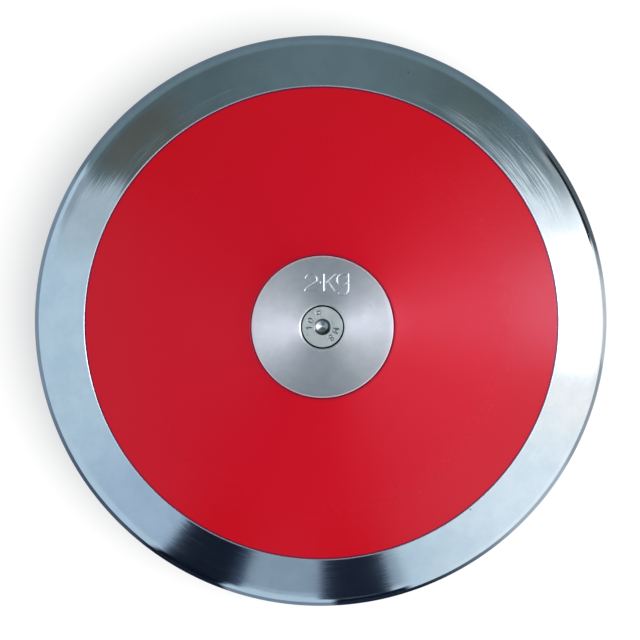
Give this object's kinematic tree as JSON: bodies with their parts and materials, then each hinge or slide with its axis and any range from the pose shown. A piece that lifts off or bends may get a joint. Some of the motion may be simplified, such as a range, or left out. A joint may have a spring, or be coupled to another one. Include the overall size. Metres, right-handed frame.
{
  "type": "discus",
  "caption": "Round throwing discus: steel rim, tapered side plates, and steel centre plates held by countersunk screws.",
  "frame": {"origin": "middle of the disc: on its axis, halfway between the two flat centre faces", "axes": "+Z along the disc's axis, out of the top side; +X through one of the three lugs that key the side plates to the rim"},
  "size_m": [0.22, 0.22, 0.045],
  "materials": {
    "rim_steel": "polished, with fine marks round the rim",
    "side_plate_abs": "glossy moulded red",
    "centre_plate_steel": "fine turned satin",
    "fastener_steel": "zinc plated, satin",
    "bond_adhesive": "cured, matte",
    "pad_rubber": "matte black"
  },
  "bodies": {
    "root": {"rim": "rim_steel", "top_side_plate": "side_plate_abs", "bottom_side_plate": "side_plate_abs", "top_bond_ring": "bond_adhesive", "bottom_bond_ring": "bond_adhesive", "top_centre_plate": "centre_plate_steel", "bottom_centre_plate": "centre_plate_steel", "top_screw": "fastener_steel", "bottom_screw": "fastener_steel", "threaded_core": "fastener_steel", "trim_washer_1": "fastener_steel", "trim_washer_2": "fastener_steel", "trim_washer_3": "fastener_steel", "top_core_pad": "pad_rubber", "bottom_core_pad": "pad_rubber"}
  },
  "joints": []
}
